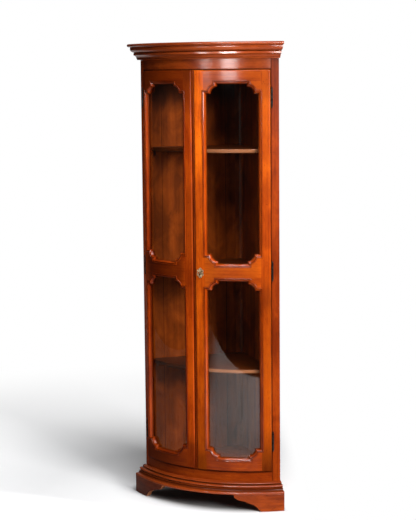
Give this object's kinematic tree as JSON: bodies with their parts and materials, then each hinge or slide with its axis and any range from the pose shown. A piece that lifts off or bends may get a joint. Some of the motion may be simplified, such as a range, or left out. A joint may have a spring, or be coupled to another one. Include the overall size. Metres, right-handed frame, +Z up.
{
  "type": "corner display cabinet",
  "caption": "Tall bow-fronted corner display cabinet with a pair of glazed doors, fixed shelves, a moulded cornice and bracket feet.",
  "frame": {"origin": "on the floor under the centre of the overall box", "axes": "+X to the right seen from the front, -Y out of the bowed front, +Y into the rear corner, +Z up"},
  "size_m": [0.71, 0.4858, 1.9],
  "materials": {
    "case_wood": "gloss lacquered reddish cherry or mahogany",
    "door_wood": "gloss lacquered reddish cherry or mahogany",
    "interior_wood": "satin stained wood",
    "glass": "clear curved sheet",
    "hinge_iron": "dark patinated metal",
    "brass": "aged satin brass"
  },
  "bodies": {
    "carcass": {"rear_corner_post": "interior_wood", "ceiling_board": "interior_wood", "bottom_board": "interior_wood", "upper_shelf": "interior_wood", "middle_shelf": "interior_wood", "lower_shelf": "interior_wood", "frieze_rail": "case_wood", "bottom_rail": "case_wood", "top_panel": "case_wood", "cornice": "case_wood", "base_moulding": "case_wood", "left_back_panel": "interior_wood", "left_stile": "case_wood", "left_foot": "case_wood", "upper_left_cleat": "interior_wood", "lower_left_cleat": "interior_wood", "right_back_panel": "interior_wood", "right_stile": "case_wood", "right_foot": "case_wood", "upper_right_cleat": "interior_wood", "lower_right_cleat": "interior_wood", "left_bottom_hinge_frame_leaf": "hinge_iron", "left_middle_hinge_frame_leaf": "hinge_iron", "left_top_hinge_frame_leaf": "hinge_iron", "right_bottom_hinge_frame_leaf": "hinge_iron", "right_middle_hinge_frame_leaf": "hinge_iron", "right_top_hinge_frame_leaf": "hinge_iron"},
    "right_door": {"right_hinge_stile": "door_wood", "right_meeting_stile": "door_wood", "right_top_rail": "door_wood", "right_middle_rail": "door_wood", "right_bottom_rail": "door_wood", "right_upper_glass": "glass", "right_lower_glass": "glass", "right_upper_moulding": "door_wood", "right_lower_moulding": "door_wood", "right_bottom_hinge_door_leaf": "hinge_iron", "right_middle_hinge_door_leaf": "hinge_iron", "right_top_hinge_door_leaf": "hinge_iron", "lock_case": "hinge_iron", "escutcheon": "brass"},
    "left_door": {"left_hinge_stile": "door_wood", "left_meeting_stile": "door_wood", "left_top_rail": "door_wood", "left_middle_rail": "door_wood", "left_bottom_rail": "door_wood", "left_upper_glass": "glass", "left_lower_glass": "glass", "left_upper_moulding": "door_wood", "left_lower_moulding": "door_wood", "left_bottom_hinge_door_leaf": "hinge_iron", "left_middle_hinge_door_leaf": "hinge_iron", "left_top_hinge_door_leaf": "hinge_iron", "meeting_bead": "door_wood", "top_bolt_guide": "brass", "bottom_bolt_guide": "brass"},
    "lock_bolt": {"lock_bolt": "brass"},
    "top_bolt": {"top_bolt": "brass"},
    "bottom_bolt": {"bottom_bolt": "brass"}
  },
  "joints": [
    {"name": "right_door_hinge", "type": "hinge", "parent": "carcass", "child": "right_door", "pos_m": [0.29291, -0.09395, 0.9725], "axis": [0, 0, 1], "range_deg": [0, 90]},
    {"name": "left_door_hinge", "type": "hinge", "parent": "carcass", "child": "left_door", "pos_m": [-0.29291, -0.09395, 0.9725], "axis": [0, 0, -1], "range_deg": [0, 90]},
    {"name": "lock_bolt_slide", "type": "slide", "parent": "right_door", "child": "lock_bolt", "axis": [-0.9995, -0.0311, 0], "range_m": [0, 0.015]},
    {"name": "top_bolt_slide", "type": "slide", "parent": "left_door", "child": "top_bolt", "axis": [0, 0, 1], "range_m": [0, 0.014]},
    {"name": "bottom_bolt_slide", "type": "slide", "parent": "left_door", "child": "bottom_bolt", "axis": [0, 0, -1], "range_m": [0, 0.014]}
  ]
}
